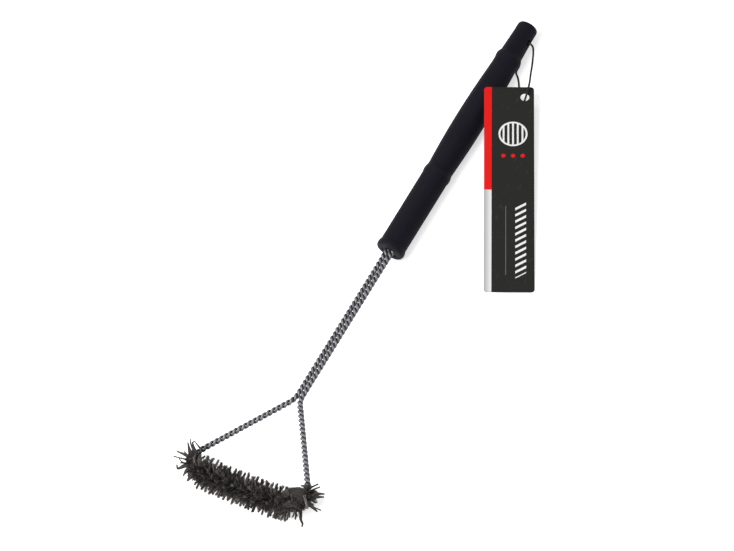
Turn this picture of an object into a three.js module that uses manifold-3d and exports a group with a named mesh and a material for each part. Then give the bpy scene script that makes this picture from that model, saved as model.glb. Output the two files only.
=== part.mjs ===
// Grill cleaning brush: a long turned handle, a twisted wire stem that parts into a triangle,
// a bowed bristle bar across the triangle's base, and a hang tag on a cord loop at the handle's end.
//
// Millimetres, +Z up, the brush lying on the floor. +X runs along the handle, from the bristles to
// the tip. The origin is on the floor, under the middle of the brush without its cord and tag.
// Lengths along the brush ("x") are measured from the junction, where the stem's two rods part.

import * as THREE from 'three';
import { mergeVertices } from 'three/addons/utils/BufferGeometryUtils.js';
import Module from 'manifold-3d';

const wasm = await Module();
wasm.setup();

// ---------------------------------------------------------------- driving dimensions

const FIT_GAP = 0.3;             // running clearance between pieces that touch

// Handle: distances are measured from the collar's face.
const GRIP_LENGTH = 265.5;
const COLLAR_FACE_RADIUS = 11.4;
const COLLAR_RADIUS = 14;
const COLLAR_CREST = 3.8;
const NECK_RADIUS = 12.95;
const NECK_AT = 9.4;
const FORE_RADIUS = 13;
const RING_RISE = 0.62;          // how far each thin ring stands above the grip beside it
const RING_HALF_WIDTH = 4.5;
const FRONT_RING_AT = 89.8;
const WAIST_RADIUS = 12.63;
const WAIST_AT = 97;
const BELLY_RADIUS = 14.15;
const BELLY_AT = 147;
const FRONT_SWELL = 0.69;        // share of the rise to the belly that is reached half way to it
const REAR_SWELL = 0.76;
const TAIL_RADIUS = 12.15;
const TAIL_AT = 216;
const REAR_RING_AT = 225.8;
const END_NECK_RADIUS = 11.05;   // just behind the rear ring
const END_RADIUS = 10.1;
const END_STRAIGHT = 11.5;       // the stretch at the tip that doesn't taper
const TIP_ROUND = 4.5;
const CORD_HOLE_RADIUS = 2.6;
const CORD_HOLE_FROM_TIP = 17.5;
const CORD_HOLE_SIDES = 12;
const GRIP_SIDES = 28;
const CURVE_FACETS = 3;          // along each curve of a turned profile
const ARC_FACETS = 8;            // along each arc of a flat outline

// Stem: each rod is two wires twisted together.
const WIRE_RADIUS = 1.15;
const WIRE_GAP = 0.6;            // between the two wires of a rod
const TWIST_PITCH = 10;
const TWIST_STEPS = 6;
const WIRE_SIDES = 4;
const STEM_LENGTH = 169;         // from the junction to the collar's face
const STEM_BEND = 12;            // how long the rods take to turn into the arms

// Head: a triangle in one plane, with its corners rounded into the bristle bar.
const ARM_REACH = 76;
const ARM_SPREAD = 61.2;
const CORNER_BULGE = 7.3;        // how far each corner stands out beyond the arm's end
const CORNER_DEPTH = 18;         // from the arm's end to the corner's bend, along the brush
const BAR_END_DEPTH = 21;        // from the arm's end to the bar's end, along the brush
const BAR_END_INSET = 7.2;
const BAR_BOW = 2.8;

// Bristles.
const BRISTLE_RADIUS = 16.5;
const BRISTLE_THICKNESS = 0.55;
const BRISTLE_RAGGED = 0.1;      // share of the length by which the strands differ
const BRISTLE_PITCH = 19.6;      // one turn of the double spiral in which the strands stand
const CORE_RADIUS = 2.5;
const CORE_SIDES = 8;
const CORE_STEPS = 8;
const BAR_STATIONS = 56;         // places along each half bar, with two strands each
const CORNER_STATIONS = 9;       // places round each corner
const CORNER_ROWS = 5;           // strands fanned at each of those places
const CORNER_FAN_ANGLE = 130;    // degrees between the outer strands of a fan
const CORNER_FAN_SHARE = 1.08;   // of the bar's bristle length, in the fans
const FOOT_CUT = 0.5;            // depth of the flat on which the bristles stand

// Socket in the collar, its insert and the crimp on the wires' hidden ends.
const RECESS = 0.6;
const INSERT_LENGTH = 30;
const INSERT_RADIUS = 7.4;
const INSERT_SIDES = 24;
const CRIMP_LENGTH = 10;
const CRIMP_WALL = 1.2;
const SOCKET_SPARE = 4;

// Hang tag: it leans on the handle with its top left corner, and its bottom right corner is on the floor.
const TAG_WIDTH = 46.7;
const TAG_LENGTH = 223.4;
const TAG_THICKNESS = 0.8;
const TAG_CORNER = 3.2;
const TAG_HOLE_RADIUS = 4.2;
const TAG_HOLE_FROM_SIDE = 8.6;
const TAG_HOLE_FROM_TOP = 11.2;
const TAG_HEADING = 30.26;       // degrees from the handle's direction, seen from above
const TAG_RISE = 2.85;           // degrees by which its long side climbs towards the hole
const TAG_TOUCH_AT = 183.9;      // from the collar's face to the corner that leans on the handle
const TAG_TOUCH_SIDE = -3.2;
const TAG_FLOOR_GAP = 0.1;

// Hanging cord.
const CORD_RADIUS = 0.9;
const CORD_SIDES = 8;
const CORD_STEPS = 52;
const KNOT_RADIUS = 2.1;
const KNOT_LENGTH = 5;
const KNOT_SIDES = 10;

// ---------------------------------------------------------------- values that follow

const MERGE_DISTANCE = 1e-4;
const LENGTH_DIVISIONS = 2000;   // for measuring a wire's length
const GOLDEN_ANGLE = Math.PI * (3 - Math.sqrt(5));

const degrees = THREE.MathUtils.degToRad;
const lerp = THREE.MathUtils.lerp;
const COLLAR_X = STEM_LENGTH;
const HELIX_RADIUS = WIRE_RADIUS + WIRE_GAP / 2;
const ROD_RADIUS = HELIX_RADIUS + WIRE_RADIUS;
const ROD_OFFSET = ROD_RADIUS + FIT_GAP / 2;
const HELIX_LEAN = Math.atan((2 * Math.PI * HELIX_RADIUS) / TWIST_PITCH);
const WIRE_END_SETBACK = FIT_GAP + WIRE_RADIUS * Math.sin(HELIX_LEAN);
const CORNER_OUT = ARM_SPREAD + CORNER_BULGE;
const CORNER_REACH = ARM_REACH + CORNER_DEPTH;
const BAR_END_REACH = ARM_REACH + BAR_END_DEPTH;
const BAR_END_SPREAD = ARM_SPREAD - BAR_END_INSET;
const BAR_HEIGHT = BRISTLE_RADIUS - FOOT_CUT;
const SOCKET_RADIUS = INSERT_RADIUS + FIT_GAP;
const SOCKET_DEPTH = RECESS + INSERT_LENGTH + FIT_GAP + CRIMP_LENGTH + SOCKET_SPARE;
const CORD_HOLE_AT = GRIP_LENGTH - CORD_HOLE_FROM_TIP;

// The brush lies on its bristles and on the handle's belly, which makes the stem slope a little.
const BAR_X = -(BAR_END_REACH + BAR_BOW / 2);
const BELLY_X = COLLAR_X + BELLY_AT;
const SLOPE = Math.atan((BAR_HEIGHT - BELLY_RADIUS) / (BELLY_X - BAR_X));

// ---------------------------------------------------------------- materials

function finish(color, roughness, metalness) {
  return new THREE.MeshStandardMaterial({ color, roughness, metalness });
}

const handlePlastic = finish(0x27232a, 0.45, 0);
const insertPlastic = finish(0x1c1b1d, 0.6, 0);
const wireSteel = finish(0x7b7d82, 0.38, 0.9);
const crimpSteel = finish(0x8d8f94, 0.35, 0.9);
const bristleSteel = finish(0x2f2b2a, 0.55, 0.3);
const blackCord = finish(0x161616, 0.8, 0);
const tagCard = finish(0x2c2d2b, 0.5, 0);

// ---------------------------------------------------------------- helpers

// A closed three.js geometry as a solid that can be joined and cut.
function toSolid(geometry) {
  const bare = geometry.clone();
  bare.deleteAttribute('normal');
  bare.deleteAttribute('uv');
  const merged = mergeVertices(bare, MERGE_DISTANCE);
  const vertProperties = Float32Array.from(merged.attributes.position.array);
  const triVerts = Uint32Array.from(merged.index.array);
  return new wasm.Manifold(new wasm.Mesh({ numProp: 3, vertProperties, triVerts }));
}

// A joined or cut solid as a three.js geometry again.
function toGeometry(solid) {
  const mesh = solid.getMesh();
  const geometry = new THREE.BufferGeometry();
  geometry.setAttribute('position', new THREE.BufferAttribute(mesh.vertProperties, 3));
  geometry.setIndex(new THREE.BufferAttribute(mesh.triVerts, 1));
  geometry.computeVertexNormals();
  return geometry;
}

function polygon(radius, sides) {
  const corners = [];
  for (let k = 0; k < sides; k += 1) {
    const angle = (2 * Math.PI * (k + 0.5)) / sides;
    corners.push(new THREE.Vector2(radius * Math.cos(angle), radius * Math.sin(angle)));
  }
  return new THREE.Shape(corners);
}

function tube(path, radius, sides, steps) {
  return new THREE.ExtrudeGeometry(polygon(radius, sides), { steps, extrudePath: path });
}

// An outline with straight sides and half-round ends, long enough for two rods side by side.
function twoRodOutline(radius, Outline) {
  const outline = new Outline();
  outline.absarc(ROD_OFFSET, 0, radius, -Math.PI / 2, Math.PI / 2, false);
  outline.absarc(-ROD_OFFSET, 0, radius, Math.PI / 2, (3 * Math.PI) / 2, false);
  return outline;
}

// A flat outline given a length along the handle.
function alongHandle(shape, length) {
  const settings = { depth: length, bevelEnabled: false, curveSegments: ARC_FACETS };
  return new THREE.ExtrudeGeometry(shape, settings).rotateZ(Math.PI / 2).rotateY(Math.PI / 2);
}

function addMesh(parent, name, geometry, material) {
  const mesh = new THREE.Mesh(geometry, material);
  mesh.name = name;
  parent.add(mesh);
  return mesh;
}

// ---------------------------------------------------------------- handle

function gripProfile() {
  const profile = new THREE.Path();
  profile.moveTo(0, SOCKET_DEPTH);
  profile.lineTo(SOCKET_RADIUS, SOCKET_DEPTH);
  profile.lineTo(SOCKET_RADIUS, 0);
  profile.lineTo(COLLAR_FACE_RADIUS, 0);
  profile.quadraticCurveTo(COLLAR_RADIUS, 0, COLLAR_RADIUS, COLLAR_CREST);
  profile.bezierCurveTo(
    COLLAR_RADIUS, (COLLAR_CREST + NECK_AT) / 2,
    NECK_RADIUS, (COLLAR_CREST + NECK_AT) / 2,
    NECK_RADIUS, NECK_AT,
  );
  ring(profile, FORE_RADIUS, FRONT_RING_AT, WAIST_RADIUS);
  profile.splineThru([
    new THREE.Vector2(WAIST_RADIUS, WAIST_AT),
    new THREE.Vector2(lerp(WAIST_RADIUS, BELLY_RADIUS, FRONT_SWELL), (WAIST_AT + BELLY_AT) / 2),
    new THREE.Vector2(BELLY_RADIUS, BELLY_AT),
    new THREE.Vector2(lerp(TAIL_RADIUS, BELLY_RADIUS, REAR_SWELL), (TAIL_AT + BELLY_AT) / 2),
    new THREE.Vector2(TAIL_RADIUS, TAIL_AT),
  ]);
  ring(profile, TAIL_RADIUS, REAR_RING_AT, END_NECK_RADIUS);
  profile.lineTo(END_RADIUS, GRIP_LENGTH - END_STRAIGHT);
  profile.lineTo(END_RADIUS, GRIP_LENGTH - TIP_ROUND);
  profile.quadraticCurveTo(END_RADIUS, GRIP_LENGTH, END_RADIUS - TIP_ROUND, GRIP_LENGTH);
  profile.lineTo(0, GRIP_LENGTH);
  return profile.getPoints(CURVE_FACETS);
}

// A thin raised ring between a stretch of radius before it and one of radius after it.
function ring(profile, before, at, after) {
  const crest = before + RING_RISE;
  profile.lineTo(before, at - RING_HALF_WIDTH);
  profile.quadraticCurveTo(crest, at - RING_HALF_WIDTH / 2, crest, at);
  profile.quadraticCurveTo(crest, at + RING_HALF_WIDTH / 2, after, at + RING_HALF_WIDTH);
}

function handleGrip() {
  const turned = new THREE.LatheGeometry(gripProfile(), GRIP_SIDES).rotateZ(-Math.PI / 2);
  const through = 4 * COLLAR_RADIUS;
  const drill = new THREE.CylinderGeometry(CORD_HOLE_RADIUS, CORD_HOLE_RADIUS, through, CORD_HOLE_SIDES);
  drill.translate(CORD_HOLE_AT, 0, 0);
  return toGeometry(toSolid(turned).subtract(toSolid(drill)));
}

function socketInsert() {
  const shape = polygon(INSERT_RADIUS, INSERT_SIDES);
  shape.holes.push(twoRodOutline(ROD_RADIUS + FIT_GAP, THREE.Path));
  return alongHandle(shape, INSERT_LENGTH);
}

function crimpSleeve() {
  const inner = ROD_RADIUS + FIT_GAP;
  const shape = twoRodOutline(inner + CRIMP_WALL, THREE.Shape);
  shape.holes.push(twoRodOutline(inner, THREE.Path));
  return alongHandle(shape, CRIMP_LENGTH);
}

// ---------------------------------------------------------------- stem and head

const flat = (x, y) => new THREE.Vector3(x, y, 0);

// The centre line of one rod, from its hidden end in the handle to the corner of the triangle.
// side is 1 for the arm on +Y and -1 for the other.
function rodLine(side) {
  const hiddenEnd = COLLAR_X + RECESS + INSERT_LENGTH + FIT_GAP + CRIMP_LENGTH;
  const bendStart = flat(STEM_BEND / 2, side * ROD_OFFSET);
  const reach = flat(-ARM_REACH, side * ARM_SPREAD);
  const turn = flat(0, side * ROD_OFFSET);
  const armEnd = reach.clone().lerp(turn, WIRE_END_SETBACK / reach.distanceTo(turn));
  const armStart = turn.clone().lerp(armEnd, STEM_BEND / 2 / turn.distanceTo(armEnd));
  const line = new THREE.CurvePath();
  line.add(new THREE.LineCurve3(flat(hiddenEnd, side * ROD_OFFSET), bendStart));
  line.add(new THREE.QuadraticBezierCurve3(bendStart, turn, armStart));
  line.add(new THREE.LineCurve3(armStart, armEnd));
  return line;
}

// The centre line of one corner and half of the bowed bar, from the arm's end to the middle.
function cornerLine(side) {
  const armEnd = flat(-ARM_REACH, side * ARM_SPREAD);
  const along = flat(-ARM_REACH, side * (ARM_SPREAD - ROD_OFFSET)).normalize();
  const outer = armEnd.clone().addScaledVector(along, CORNER_REACH - ARM_REACH);
  const barEnd = flat(-BAR_END_REACH, side * BAR_END_SPREAD);
  const bend = flat(-CORNER_REACH, side * CORNER_OUT);
  return new THREE.CubicBezierCurve3(armEnd, outer.lerp(bend, 0.5), bend, barEnd);
}

function halfBarLine(side) {
  const barEnd = flat(-BAR_END_REACH, side * BAR_END_SPREAD);
  const middle = flat(-(BAR_END_REACH + BAR_BOW), 0);
  const control = flat(-(BAR_END_REACH + BAR_BOW), (side * BAR_END_SPREAD) / 2);
  return new THREE.QuadraticBezierCurve3(barEnd, control, middle);
}

// One wire of a rod: a left-handed helix round the rod's centre line.
class TwistedWire extends THREE.Curve {
  constructor(line, phase) {
    super();
    this.line = line;
    this.phase = phase;
    this.lineLength = line.getLength();
    this.arcLengthDivisions = LENGTH_DIVISIONS;
  }

  getPoint(t, target = new THREE.Vector3()) {
    const centre = this.line.getPointAt(t);
    const tangent = this.line.getTangentAt(t);
    const angle = this.phase - (2 * Math.PI * t * this.lineLength) / TWIST_PITCH;
    const across = new THREE.Vector3(-tangent.y, tangent.x, 0);
    target.copy(centre).addScaledVector(across, HELIX_RADIUS * Math.cos(angle));
    target.z += HELIX_RADIUS * Math.sin(angle);
    return target;
  }
}

function wire(side, phase) {
  const line = rodLine(side);
  const curve = new TwistedWire(line, phase);
  const steps = Math.round((curve.lineLength / TWIST_PITCH) * TWIST_STEPS);
  return tube(curve, WIRE_RADIUS, WIRE_SIDES, steps);
}

// ---------------------------------------------------------------- bristles

// One strand: a three-sided bar that stands on the centre line and points along direction.
function strand(foot, direction, length) {
  const bar = new THREE.CylinderGeometry(BRISTLE_THICKNESS, BRISTLE_THICKNESS, length, 3);
  bar.translate(0, length / 2, 0);
  bar.applyQuaternion(new THREE.Quaternion().setFromUnitVectors(new THREE.Vector3(0, 1, 0), direction));
  bar.translate(foot.x, foot.y, foot.z);
  return toSolid(bar);
}

// Where strand k of count stands on a line, as a share of the line's length. The outer strands keep
// clear of the next slice.
function station(k, count, length) {
  const margin = BRISTLE_THICKNESS + FIT_GAP;
  return (margin + ((length - 2 * margin) * k) / (count - 1)) / length;
}

// The strands' lengths differ a little, in a fixed order.
const ragged = (k) => 1 - (BRISTLE_RAGGED * (1 + Math.sin(k * GOLDEN_ANGLE))) / 2;

// Everything above the floor, as a solid in the sloping brush's own frame.
function aboveFloor() {
  const reach = 2 * (BELLY_X - BAR_X);
  const half = new THREE.BoxGeometry(reach * 2, reach, reach);
  half.translate(0, 0, reach / 2 - BELLY_RADIUS);
  half.translate(-BELLY_X, 0, 0).rotateY(-SLOPE).translate(BELLY_X, 0, 0);
  return toSolid(half);
}

// A slice of the core along line, with FIT_GAP left at both ends, and the strands that stand on it.
function bristleGroup(line, strands) {
  const length = line.getLength();
  const points = [];
  for (let k = 0; k <= CORE_STEPS; k += 1) {
    const t = (FIT_GAP / 2 + ((length - FIT_GAP) * k) / CORE_STEPS) / length;
    points.push(line.getPointAt(t));
  }
  const slice = new THREE.CatmullRomCurve3(points);
  let solid = toSolid(tube(slice, CORE_RADIUS, CORE_SIDES, CORE_STEPS));
  for (const [foot, direction, reach] of strands) {
    solid = solid.add(strand(foot, direction, reach));
  }
  return toGeometry(solid.intersect(aboveFloor()));
}

function halfBar(side) {
  const line = halfBarLine(side);
  const length = line.getLength();
  const up = new THREE.Vector3(0, 0, 1);
  const strands = [];
  for (let k = 0; k < BAR_STATIONS; k += 1) {
    const t = station(k, BAR_STATIONS, length);
    const tangent = line.getTangentAt(t);
    const across = new THREE.Vector3(-tangent.y, tangent.x, 0);
    const angle = (-side * 2 * Math.PI * (1 - t) * length) / BRISTLE_PITCH;
    const direction = across.multiplyScalar(Math.cos(angle)).addScaledVector(up, Math.sin(angle));
    const foot = line.getPointAt(t);
    strands.push([foot, direction, BRISTLE_RADIUS * ragged(2 * k)]);
    strands.push([foot, direction.clone().negate(), BRISTLE_RADIUS * ragged(2 * k + 1)]);
  }
  return bristleGroup(line, strands);
}

function cornerFan(side) {
  const line = cornerLine(side);
  const up = new THREE.Vector3(0, 0, 1);
  const strands = [];
  for (let k = 0; k < CORNER_STATIONS; k += 1) {
    const t = station(k, CORNER_STATIONS, line.getLength());
    const tangent = line.getTangentAt(t);
    const outward = new THREE.Vector3(side * -tangent.y, side * tangent.x, 0).negate();
    for (let row = 0; row < CORNER_ROWS; row += 1) {
      const share = (row + (k % 2) / 2) / (CORNER_ROWS - 0.5) - 0.5;
      const lift = degrees(CORNER_FAN_ANGLE) * share;
      const direction = outward.clone().multiplyScalar(Math.cos(lift)).addScaledVector(up, Math.sin(lift));
      const reach = BRISTLE_RADIUS * CORNER_FAN_SHARE * ragged(k * CORNER_ROWS + row);
      strands.push([line.getPointAt(t), direction, reach]);
    }
  }
  return bristleGroup(line, strands);
}

// ---------------------------------------------------------------- hang tag and cord

// The card lies in its own frame: its hole is at the origin, X runs up its length and Y to its left.
function tagCardGeometry() {
  const top = TAG_HOLE_FROM_TOP;
  const bottom = top - TAG_LENGTH;
  const right = -TAG_HOLE_FROM_SIDE;
  const left = right + TAG_WIDTH;
  const r = TAG_CORNER;
  const shape = new THREE.Shape();
  shape.absarc(top - r, left - r, r, 0, Math.PI / 2, false);
  shape.absarc(bottom + r, left - r, r, Math.PI / 2, Math.PI, false);
  shape.absarc(bottom + r, right + r, r, Math.PI, (3 * Math.PI) / 2, false);
  shape.absarc(top - r, right + r, r, (3 * Math.PI) / 2, 2 * Math.PI, false);
  const hole = new THREE.Path();
  hole.absarc(0, 0, TAG_HOLE_RADIUS, 0, 2 * Math.PI, true);
  shape.holes.push(hole);
  const settings = { depth: TAG_THICKNESS, bevelEnabled: false, curveSegments: ARC_FACETS };
  return new THREE.ExtrudeGeometry(shape, settings).translate(0, 0, -TAG_THICKNESS / 2);
}

// The grip's outer radius at a distance from the collar's face.
function gripRadiusAt(distance) {
  const outside = gripProfile().filter((point) => point.x > SOCKET_RADIUS + FIT_GAP);
  const next = outside.findIndex((point) => point.y >= distance);
  const [before, after] = [outside[next - 1], outside[next]];
  const share = (distance - before.y) / (after.y - before.y);
  return lerp(before.x, after.x, share);
}

// The card's top left corner rests on the grip and its bottom right corner on the floor. Its heading
// and rise are given, and its lean follows.
function leanTag(tag, brushFrame) {
  const axis = new THREE.Vector3(COLLAR_X + TAG_TOUCH_AT, 0, 0).applyMatrix4(brushFrame.matrixWorld);
  const radius = gripRadiusAt(TAG_TOUCH_AT);
  const surface = axis.z + Math.sqrt(radius * radius - TAG_TOUCH_SIDE * TAG_TOUCH_SIDE);
  const corner = new THREE.Vector3(axis.x, TAG_TOUCH_SIDE, surface + FIT_GAP + TAG_THICKNESS / 2);
  const fall = corner.z - TAG_LENGTH * Math.sin(degrees(TAG_RISE)) - TAG_THICKNESS / 2 - TAG_FLOOR_GAP;
  const lean = Math.asin(fall / (TAG_WIDTH * Math.cos(degrees(TAG_RISE))));
  tag.rotation.set(lean, -degrees(TAG_RISE), degrees(TAG_HEADING), 'ZYX');
  const holeToCorner = new THREE.Vector3(TAG_HOLE_FROM_TOP, TAG_WIDTH - TAG_HOLE_FROM_SIDE, 0);
  tag.position.copy(corner).sub(holeToCorner.applyEuler(tag.rotation));
}

// The cord's route in the object's own frame: from the knot out of the cord hole's near mouth, over
// the tag's top edge and down through its hole, back under the tag and under the handle's thin end,
// and in again at the far mouth.
const CORD_ROUTE = [
  [257.7, -2.9, 13.7],
  [257.7, -6.5, 13.7],
  [257.7, -9.7, 13.6],
  [257.7, -12.2, 12.9],
  [257.1, -14.0, 11.2],
  [255.2, -15.0, 8.6],
  [250.3, -16.8, 6.2],
  [241.2, -20.6, 4.9],
  [231.2, -25.6, 6.4],
  [223.7, -30.6, 9.5],
  [219.4, -34.8, 14.2],
  [215.7, -37.0, 15.7],
  [211.7, -38.5, 15.8],
  [207.9, -39.5, 15.5],
  [205.0, -39.8, 14.6],
  [201.9, -39.9, 13.3],
  [197.9, -39.6, 11.5],
  [194.6, -38.1, 9.5],
  [193.0, -34.7, 8.0],
  [194.3, -30.9, 6.8],
  [206.0, -24.9, 3.3],
  [217.0, -18.4, 1.4],
  [225.4, -12.0, 1.0],
  [229.4, -7.6, 1.0],
  [232.6, -6.0, 1.0],
  [238.2, -5.7, 1.0],
  [242.4, -2.9, 1.0],
  [246.8, 2.5, 1.0],
  [250.5, 8.4, 1.1],
  [253.6, 12.6, 2.8],
  [256.0, 14.3, 6.2],
  [257.2, 13.8, 9.6],
  [257.7, 12.1, 12.2],
  [257.7, 9.5, 13.5],
  [257.7, 6.0, 13.7],
  [257.7, 2.9, 13.7],
];

function hangCord() {
  const route = new THREE.CatmullRomCurve3(CORD_ROUTE.map(([x, y, z]) => new THREE.Vector3(x, y, z)));
  return tube(route, CORD_RADIUS, CORD_SIDES, CORD_STEPS);
}

function cordKnot() {
  const half = KNOT_LENGTH / 2;
  const profile = new THREE.Path();
  profile.moveTo(0, -half);
  profile.lineTo(CORD_RADIUS, -half);
  profile.quadraticCurveTo(KNOT_RADIUS, -half, KNOT_RADIUS, 0);
  profile.quadraticCurveTo(KNOT_RADIUS, half, CORD_RADIUS, half);
  profile.lineTo(0, half);
  return new THREE.LatheGeometry(profile.getPoints(CURVE_FACETS), KNOT_SIDES);
}

// ---------------------------------------------------------------- assembly

const object = new THREE.Group();
const brush = new THREE.Group();
const head = new THREE.Group();
object.add(brush);
brush.add(head);

const handle = new THREE.Group();
handle.position.x = COLLAR_X;
brush.add(handle);

addMesh(handle, 'handle_grip', handleGrip(), handlePlastic);
addMesh(handle, 'socket_insert', socketInsert(), insertPlastic).position.x = RECESS;
addMesh(handle, 'wire_crimp', crimpSleeve(), crimpSteel).position.x = RECESS + INSERT_LENGTH + FIT_GAP;

for (const [name, side] of [['left', 1], ['right', -1]]) {
  addMesh(head, `${name}_wire_a`, wire(side, 0), wireSteel);
  addMesh(head, `${name}_wire_b`, wire(side, Math.PI), wireSteel);
  addMesh(head, `${name}_corner_bristles`, cornerFan(side), bristleSteel);
  addMesh(head, `${name}_bar_bristles`, halfBar(side), bristleSteel);
}

// The sloping brush is set down so that its belly is on the floor and its box is centred in X.
brush.rotation.y = SLOPE;
brush.updateMatrixWorld(true);
const box = new THREE.Box3().setFromObject(brush, true);
brush.position.set(-(box.min.x + box.max.x) / 2, 0, -box.min.z);
brush.updateMatrixWorld(true);

leanTag(addMesh(object, 'hang_tag', tagCardGeometry(), tagCard), brush);
addMesh(object, 'hang_cord', hangCord(), blackCord);
addMesh(handle, 'cord_knot', cordKnot(), blackCord).position.x = CORD_HOLE_AT;

export default object;
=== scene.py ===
# %% [markdown]
# # A grill cleaning brush
#
# The brush has a long turned plastic handle, a stem of twisted steel wire that parts into a
# triangle, a bowed bar of wire bristles across the triangle's base, and a hang tag on a cord loop.
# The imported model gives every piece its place; this script gives it its finished surface.

# %% Load the frame
import math

import bmesh
import bpy
from mathutils import Matrix, Vector


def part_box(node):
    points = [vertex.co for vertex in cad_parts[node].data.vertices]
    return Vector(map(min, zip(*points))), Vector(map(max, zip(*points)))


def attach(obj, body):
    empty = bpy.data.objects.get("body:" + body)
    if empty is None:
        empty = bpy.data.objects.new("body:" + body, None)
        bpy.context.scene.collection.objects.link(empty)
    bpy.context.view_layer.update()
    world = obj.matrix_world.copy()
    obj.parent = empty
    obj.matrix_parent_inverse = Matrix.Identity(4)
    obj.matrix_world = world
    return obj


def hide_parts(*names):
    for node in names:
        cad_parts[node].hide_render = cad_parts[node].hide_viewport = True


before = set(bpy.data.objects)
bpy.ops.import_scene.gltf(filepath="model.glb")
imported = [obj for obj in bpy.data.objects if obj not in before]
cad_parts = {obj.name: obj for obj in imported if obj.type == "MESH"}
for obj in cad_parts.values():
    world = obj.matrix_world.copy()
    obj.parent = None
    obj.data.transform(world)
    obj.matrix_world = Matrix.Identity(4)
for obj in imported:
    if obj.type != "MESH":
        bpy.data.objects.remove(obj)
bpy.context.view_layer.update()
print("CAD nodes:", sorted(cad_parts))

# %% [markdown]
# ## The brush's own frame
#
# The brush lies on its bristles and on the handle's belly, so its axis slopes by a quarter of
# a degree. Handle, stem and head are drawn level, with x measured from the junction where the two
# rods part, and `settle` then tips them into place. Sizes are written in millimetres times MM.

# %% Frame helpers
MM = 0.001
JUNCTION = Vector((-159.283, 0.0, 15.566)) * MM
STEM_SLOPE = math.radians(0.2558)
BRUSH_TO_FLOOR = Matrix.Translation(JUNCTION) @ Matrix.Rotation(STEM_SLOPE, 4, "Y")


def settle(mesh):
    """Tips a mesh that was drawn level into the lying brush."""
    mesh.transform(BRUSH_TO_FLOOR)
    return mesh


def report(piece, *nodes):
    """Prints a piece's size beside the box of the CAD nodes that it stands for."""
    corners = [v.co for v in piece.data.vertices]
    low = [min(c[k] for c in corners) * 1000 for k in range(3)]
    high = [max(c[k] for c in corners) * 1000 for k in range(3)]
    text = [f"{a:.1f}..{b:.1f}" for a, b in zip(low, high)]
    print(piece.name, text, "mm,", len(piece.data.polygons), "faces")
    for node in nodes:
        a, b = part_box(node)
        print("   ", node, [f"{p * 1000:.1f}..{q * 1000:.1f}" for p, q in zip(a, b)])


# %% [markdown]
# ## The camera
#
# The photograph looks down at the brush from the bristles' side with a long lens, turned so that
# the handle runs to the upper right. The view is given as the point on the floor that it aims at,
# the way it looks, and its roll. Blender's 36 mm sensor spans the picture's long side.

# %% Camera
AIM = Vector((-13.75, 17.9, 0.1)) * MM
VIEW_DISTANCE = 4.7415
VIEW_HEADING = math.radians(60.170)
VIEW_DOWN = math.radians(50.328)
VIEW_ROLL = math.radians(-34.541)
LENS_MM = 250


def make_camera():
    data = bpy.data.cameras.new("photo_camera")
    data.lens = LENS_MM
    camera = bpy.data.objects.new("photo_camera", data)
    bpy.context.scene.collection.objects.link(camera)
    flat = math.cos(VIEW_DOWN)
    look = Vector((math.cos(VIEW_HEADING) * flat, math.sin(VIEW_HEADING) * flat, -math.sin(VIEW_DOWN)))
    turn = Matrix.Rotation(-VIEW_ROLL, 3, look) @ look.to_track_quat("-Z", "Y").to_matrix()
    camera.matrix_world = Matrix.Translation(AIM - look * VIEW_DISTANCE) @ turn.to_4x4()
    bpy.context.scene.camera = camera
    print("camera at", [round(c, 3) for c in camera.location])


make_camera()

# %% [markdown]
# ## Sums on sockets
#
# Both the surface finishes and the repeated shapes are node trees. One class wraps a node's output
# so that sums can be written as Python expressions; each operator adds one Math node. Every other
# node comes from `Graph.add`, which sets the node's settings first and then its sockets.


# %% Node graph helpers
class Value:
    """One output of a node. Arithmetic on it adds Math nodes."""

    def __init__(self, graph, socket):
        self.graph = graph
        self.socket = socket

    def other(self, name):
        """Another output of the same node."""
        return Value(self.graph, self.socket.node.outputs[name])

    def __add__(self, value):
        return self.graph.maths("ADD", self, value)

    def __sub__(self, value):
        return self.graph.maths("SUBTRACT", self, value)

    def __mul__(self, value):
        return self.graph.maths("MULTIPLY", self, value)

    def __truediv__(self, value):
        return self.graph.maths("DIVIDE", self, value)

    def __rsub__(self, value):
        return self.graph.maths("SUBTRACT", value, self)

    def __lt__(self, value):
        return self.graph.maths("LESS_THAN", self, value)

    __radd__ = __add__
    __rmul__ = __mul__


class Graph:
    """A node tree that is written as expressions."""

    def __init__(self, tree):
        self.tree = tree

    def add(self, kind, settings=None, sockets=None, out=0):
        node = self.tree.nodes.new(kind)
        for name, setting in (settings or {}).items():
            setattr(node, name, setting)
        for key, value in (sockets or {}).items():
            self.plug(node.inputs[key], value)
        return Value(self, node.outputs[out]) if node.outputs else node

    def plug(self, socket, value):
        if isinstance(value, Value):
            self.tree.links.new(value.socket, socket)
        else:
            socket.default_value = value

    def maths(self, operation, *values):
        return self.add("ShaderNodeMath", {"operation": operation}, dict(enumerate(values)))

    def vector(self, operation, *values, out=0):
        return self.add("ShaderNodeVectorMath", {"operation": operation}, dict(enumerate(values)), out)

    def combined(self, *parts):
        """A vector with these parts along X, Y and Z."""
        return self.add("ShaderNodeCombineXYZ", None, dict(enumerate(parts)))

    def scaled(self, vector, factor):
        return self.add("ShaderNodeVectorMath", {"operation": "SCALE"}, {0: vector, "Scale": factor})

    def mix(self, share, a, b):
        """A colour between a and b. Mix's colour sockets are its seventh and eighth."""
        return self.add("ShaderNodeMix", {"data_type": "RGBA"}, {0: share, 6: a, 7: b}, out=2)

    def step(self, value, low, high):
        """0 below low, 1 above high, and smooth between."""
        sockets = {0: value, 1: low, 2: high, 3: 0.0, 4: 1.0}
        return self.add("ShaderNodeMapRange", {"interpolation_type": "SMOOTHSTEP"}, sockets)


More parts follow.
